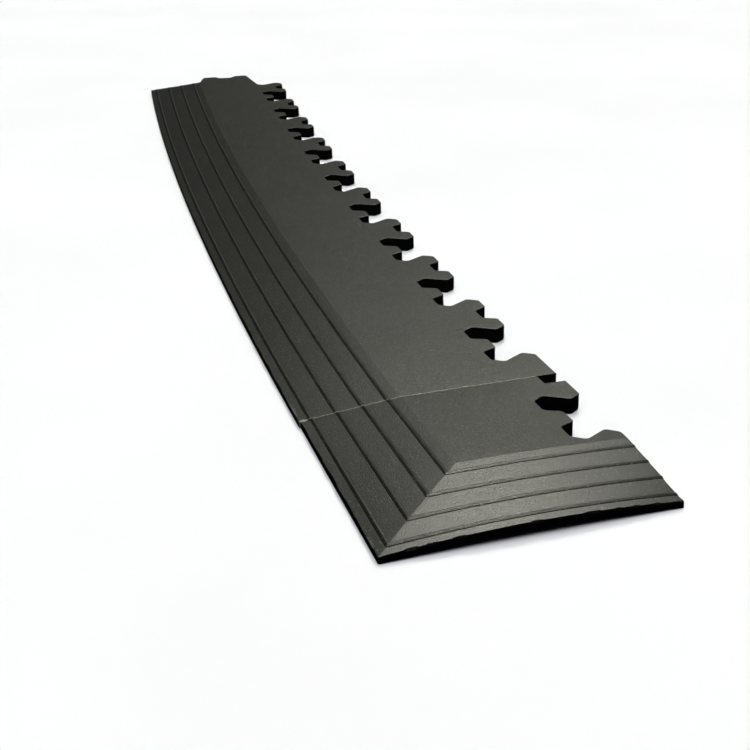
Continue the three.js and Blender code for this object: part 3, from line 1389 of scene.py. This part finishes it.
@dataclass
class SeamBond:
    """The adhesive in the joint: a thin film between the end faces and a broken line on top.

    Attributes:
        joint: Where the joint is along the edging.
        film: Thickness of the film, and foot its height off the floor.
        line: Width of the line on top, and line_height its height above the rubber.
        sunk: How far the line lies below that where it breaks off.
        bed: How far the line reaches down into the joint.
        shoulder: How far below the skin the film widens into the line.
        wander: How far the line strays from the joint.
        cover: How full the line is where neither its waver nor its dashes change it.
        field_cover: The least that it is on the flat field, where it never quite breaks off.
        patch_end: How far in the smear at the outer edge reaches, and patch_lead how far out.
        blob_at: How far in the blob is.
        wobble: How unevenly the line, the smear and the blob have spread, as shares of their width.
    """

    name: str
    node: str
    slot: str
    finish: CuredAdhesive
    origin: Vector
    section: RampSection = RampSection()
    joint: float = 151.0
    film: float = 0.4
    start: float = 0.1
    width: float = 145.8
    foot: float = 0.4
    line: float = 0.85
    line_height: float = 0.3
    sunk: float = 0.06
    bed: float = 0.05
    shoulder: float = 0.3
    wander: float = 0.25
    wander_size: float = 5.0
    waver_size: float = 2.1
    waver_share: float = 0.4
    dash_size: float = 6.5
    dash_share: float = 1.8
    cover: float = 0.75
    field_cover: float = 0.55
    field_waver: float = 0.3
    step: float = 0.45
    arc_steps: int = 8
    patch_end: float = 5.2
    patch_lead: float = 1.2
    patch_width: float = 2.6
    blob_at: float = 101.0
    blob_length: float = 2.8
    blob_width: float = 1.9
    blob_height: float = 0.55
    wobble: Point3 = (0.35, 0.3, 0.25)

    def spread(self, x: float) -> tuple[float, float]:
        """Width and height of what has squeezed out at a place across the edging.

        Args:
            x: Distance in from the outer edge.

        Returns:
            The width and the height above the rubber; a negative height is below it.
        """
        line_wobble, patch_wobble, blob_wobble = self.wobble
        waver = ripple(x, 0.0, self.waver_size, Pattern.BEAD)
        dash = ripple(x, 0.0, self.dash_size, Pattern.DASH)
        share = min(1.0, max(0.0, self.cover + self.dash_share * dash + self.waver_share * waver))
        if x > self.section.ramp_width:
            share = max(share, self.field_cover + self.field_waver * waver)
        width = self.line * share * (1 + line_wobble * waver)
        height = self.line_height * share - self.sunk
        if x < self.patch_end:
            across = min(1.0, (x + self.patch_lead) / (self.patch_end + self.patch_lead))
            bump = math.sin(math.pi * across) ** 0.5
            width = self.patch_width * bump * (1 + patch_wobble * waver)
            height = self.line_height * bump
        across = abs(x - self.blob_at) / self.blob_length
        if across < 1.0:
            crown = math.sqrt(1 - across**2)
            width = max(width, self.blob_width * crown * (1 + blob_wobble * waver))
            height = max(height, self.blob_height * crown)
        return max(width, self.film), height

    def build(self) -> bpy.types.Object:
        """Sweeps the film and its squeezed-out line across the edging.

        Returns:
            The adhesive, one closed mesh in the frame.
        """
        breaks = self.section.breaks()
        mesh = Mesh()
        rings: list[list[int]] = []
        for x in ruled(self.start, self.width, self.step):
            skin = self.skin(breaks, x)
            width, height = self.spread(x)
            side = self.joint + self.wander * ripple(x, 0.0, self.wander_size, Pattern.JOINT)
            flank = width / 2
            low = skin - self.bed
            arc = [
                (side - flank * math.cos(a), low + (height + self.bed) * math.sin(a))
                for a in ruled(0.0, math.pi, math.pi / self.arc_steps)
            ]
            ring = [
                (self.joint + self.film / 2, self.foot),
                (self.joint - self.film / 2, self.foot),
                (self.joint - self.film / 2, skin - self.shoulder),
                *arc,
                (self.joint + self.film / 2, skin - self.shoulder),
            ]
            rings.append([mesh.add((x, y, z)) for y, z in ring])
        for left, right in zip(rings, rings[1:]):
            for i in range(len(left)):
                j = (i + 1) % len(left)
                mesh.faces.append((left[i], right[i], right[j], left[j]))
        mesh.faces += [tuple(rings[0]), tuple(rings[-1][::-1])]
        return mesh.object(self.name, self.placed)

    def skin(self, breaks: Sequence[Point], x: float) -> float:
        """Height of the rubber beside the joint.

        Args:
            breaks: The section, as RampSection.breaks gives it.
            x: Distance in from the outer edge.

        Returns:
            The height above the floor.
        """
        for (x0, z0), (x1, z1) in zip(breaks, breaks[1:]):
            if x <= x1:
                return z0 + (z1 - z0) * (x - x0) / (x1 - x0)
        return breaks[-1][1]

    def placed(self, corner: Point3) -> Vector:
        """Sets a drawn point in the frame, in metres."""
        return (Vector(corner) + self.origin) * MM

    def dress(self, made: bpy.types.Object) -> None:
        """Gives the adhesive its finish and ties it to the frame.

        Args:
            made: The mesh that build returned.
        """
        made.data.materials.append(self.finish.material())
        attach(made, "root")
        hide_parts(self.node)


# ---- Studio -------------------------------------------------------------------------------------


@dataclass(frozen=True)
class Lamp:
    """A distant soft light.

    Attributes:
        name: Name of the light.
        heading_deg: Where it stands, clockwise from the far end of the strip.
        height_deg: Its height above the horizon.
        spread_deg: How wide it looks from the floor.
        strength: Its strength.
        colour: Its colour.
    """

    name: str
    heading_deg: float
    height_deg: float
    spread_deg: float
    strength: float
    colour: str = "#fffff1"


@dataclass
class Studio:
    """The plain floor, the soft lights and the camera.

    Attributes:
        key: Draws the sheen on the ribs and the bevels.
        overhead: Lights the floor only, because black cards flag it off the rubber.
        fills: Weak lights, only for the pieces, that show them from the other sides.
        floor_rings: Radius and height of the floor's rings in metres; it turns up far out.
    """

    finish: PaintedFloor = PaintedFloor()
    key: Lamp = Lamp("key_softbox", heading_deg=25.0, height_deg=47.4, spread_deg=14.0, strength=1.37)
    overhead: Lamp = Lamp(
        "overhead_softbox",
        heading_deg=0.0,
        height_deg=90.0,
        spread_deg=70.0,
        strength=2.62,
        colour="#fafbff",
    )
    fills: tuple[Lamp, ...] = (
        Lamp("front_softbox", heading_deg=205.0, height_deg=45.0, spread_deg=30.0, strength=0.3),
        Lamp("left_softbox", heading_deg=295.0, height_deg=45.0, spread_deg=30.0, strength=0.3),
        Lamp("right_softbox", heading_deg=115.0, height_deg=45.0, spread_deg=30.0, strength=0.3),
    )
    dome_colour: str = "#c4d4ff"
    dome_strength: float = 0.015
    floor_rings: tuple[Point, ...] = ((4.0, 0.0), (5.0, 0.05), (6.0, 0.3), (12.0, 3.5))
    floor_sides: int = 64
    stand_mm: Point3 = (-241.0, -1055.2, 322.6)
    heading_deg: float = 16.3
    tilt_deg: float = 24.19
    roll_deg: float = -1.48
    lens_mm: float = 60.9
    sensor_mm: float = 36.0

    def build(self) -> bpy.types.Object:
        """Builds the floor, lights, sky and camera.

        Returns:
            The floor.
        """
        floor = self.floor()
        self.sun(self.key)
        self.keep_to(self.sun(self.overhead), [floor])
        self.sky()
        self.camera()
        bpy.context.scene.view_settings.view_transform = "Standard"
        return floor

    def floor(self) -> bpy.types.Object:
        """Builds the floor as a wide, shallow bowl that throws no light back on the mouldings.

        Returns:
            The floor.
        """
        data = bpy.data.meshes.new("studio_floor")
        corners: list[Point3] = [(0.0, 0.0, 0.0)]
        for radius, height in self.floor_rings:
            for i in range(self.floor_sides):
                turn = 2 * math.pi * i / self.floor_sides
                corners.append((radius * math.cos(turn), radius * math.sin(turn), height))
        faces: list[tuple[int, ...]] = []
        for i in range(self.floor_sides):
            j = (i + 1) % self.floor_sides
            faces.append((0, 1 + i, 1 + j))
            for ring in range(len(self.floor_rings) - 1):
                near, far = 1 + ring * self.floor_sides, 1 + (ring + 1) * self.floor_sides
                faces.append((near + i, far + i, far + j, near + j))
        data.from_pydata(corners, [], faces)
        data.shade_smooth()
        floor = bpy.data.objects.new("studio_floor", data)
        bpy.context.scene.collection.objects.link(floor)
        data.materials.append(self.finish.material())
        floor.visible_diffuse = False
        floor.visible_glossy = False
        return floor

    def keep_to(self, light: bpy.types.Object, lit: Sequence[bpy.types.Object]) -> None:
        """Flags a light off everything but some objects; the others still cast its shadows.

        Args:
            light: The light.
            lit: The only objects that it lights.
        """
        receivers = bpy.data.collections.new("lit_by_" + light.name)
        for thing in lit:
            receivers.objects.link(thing)
        light.light_linking.receiver_collection = receivers

    def fill(self, made: Sequence[bpy.types.Object]) -> None:
        """Adds the fill lights, which miss the floor.

        Args:
            made: The finished pieces.
        """
        for lamp in self.fills:
            self.keep_to(self.sun(lamp), made)

    def sun(self, lamp: Lamp) -> bpy.types.Object:
        """Adds a distant soft light.

        Args:
            lamp: What it is.

        Returns:
            The light.
        """
        data = bpy.data.lights.new(lamp.name, "SUN")
        data.energy = lamp.strength
        data.angle = math.radians(lamp.spread_deg)
        data.color = linear(lamp.colour)[:3]
        made = bpy.data.objects.new(lamp.name, data)
        lean = math.radians(lamp.height_deg - 90.0)
        made.rotation_euler = Euler((lean, 0.0, math.radians(-lamp.heading_deg)), "XYZ")
        bpy.context.scene.collection.objects.link(made)
        return made

    def sky(self) -> None:
        """Sets a pale dome overhead and darkness below the floor."""
        world = bpy.data.worlds.new("studio_dome")
        world.use_nodes = True
        tree = world.node_tree
        tree.nodes.clear()
        direction = add_node(tree, "ShaderNodeTexCoord").outputs["Generated"]
        height = add_node(tree, "ShaderNodeSeparateXYZ", {}, {0: direction}).outputs["Z"]
        above = add_node(
            tree,
            "ShaderNodeMapRange",
            {"From Min": 0.0, "From Max": 0.3, "To Min": 0.0, "To Max": self.dome_strength},
            {"Value": height},
        ).outputs["Result"]
        dome = add_node(
            tree,
            "ShaderNodeBackground",
            {"Color": linear(self.dome_colour)},
            {"Strength": above},
        ).outputs["Background"]
        add_node(tree, "ShaderNodeOutputWorld", {}, {"Surface": dome})
        bpy.context.scene.world = world

    def camera(self) -> None:
        """Adds the camera where the edging is seen along its length from the mitred corner."""
        data = bpy.data.cameras.new("camera")
        data.lens = self.lens_mm
        data.sensor_width = self.sensor_mm
        data.clip_start = 0.01
        data.clip_end = 50.0
        camera = bpy.data.objects.new("camera", data)
        heading = Matrix.Rotation(math.radians(-self.heading_deg), 4, "Z")
        tilt = Matrix.Rotation(math.radians(90.0 - self.tilt_deg), 4, "X")
        roll = Matrix.Rotation(math.radians(self.roll_deg), 4, "Z")
        camera.matrix_world = (
            Matrix.Translation(Vector(self.stand_mm) * MM) @ heading @ tilt @ roll
        )
        bpy.context.scene.collection.objects.link(camera)
        bpy.context.scene.camera = camera


# ---- Assembly -----------------------------------------------------------------------------------


def drawing_origin(shift: float) -> Vector:
    """Place of the drawing's origin in the frame, in millimetres.

    Args:
        shift: How far in the corner sits from the line of the strip.

    Returns:
        The outer corner at the joint end, on the floor.
    """
    low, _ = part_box("corner_ramp")
    return Vector((low.x / MM - shift, low.y / MM, 0.0))


def main() -> None:
    """Builds the studio and the three pieces in order."""
    logging.basicConfig(level=logging.INFO, format="%(message)s")
    origin = drawing_origin(CornerRamp.shift)
    studio = Studio()
    studio.build()
    pieces = [
        StraightRamp(
            name="strip_moulding",
            node="straight_ramp",
            slot="strip_rubber",
            # The strip's walls take a bluish black as painted shade.
            finish=MouldedRubber("compression_moulded_rubber_strip", cut="#16191d"),
            origin=origin,
            # Painted glint on the bevelled edge beside the joint.
            glint_patches=(GlintPatch(start=-6.0, end=38.0, reach=4.2),),
        ),
        CornerRamp(
            name="corner_moulding",
            node="corner_ramp",
            slot="corner_rubber",
            finish=MouldedRubber("compression_moulded_rubber_corner", body="#141413"),
            origin=origin,
            # Painted glint on the long bevelled edge near the outer corner.
            glint_patches=(GlintPatch(start=1.0, end=26.0, reach=2.6),),
        ),
        SeamBond(
            name="seam_adhesive",
            node="seam_bond",
            slot="adhesive",
            finish=CuredAdhesive("cured_polyurethane_adhesive"),
            origin=origin,
        ),
    ]
    finished = []
    for piece in pieces:
        made = piece.build()
        piece.dress(made)
        finished.append(made)
        LOG.info("%s: %d faces", made.name, len(made.data.polygons))
    studio.fill(finished)


if __name__ == "__main__":
    main()
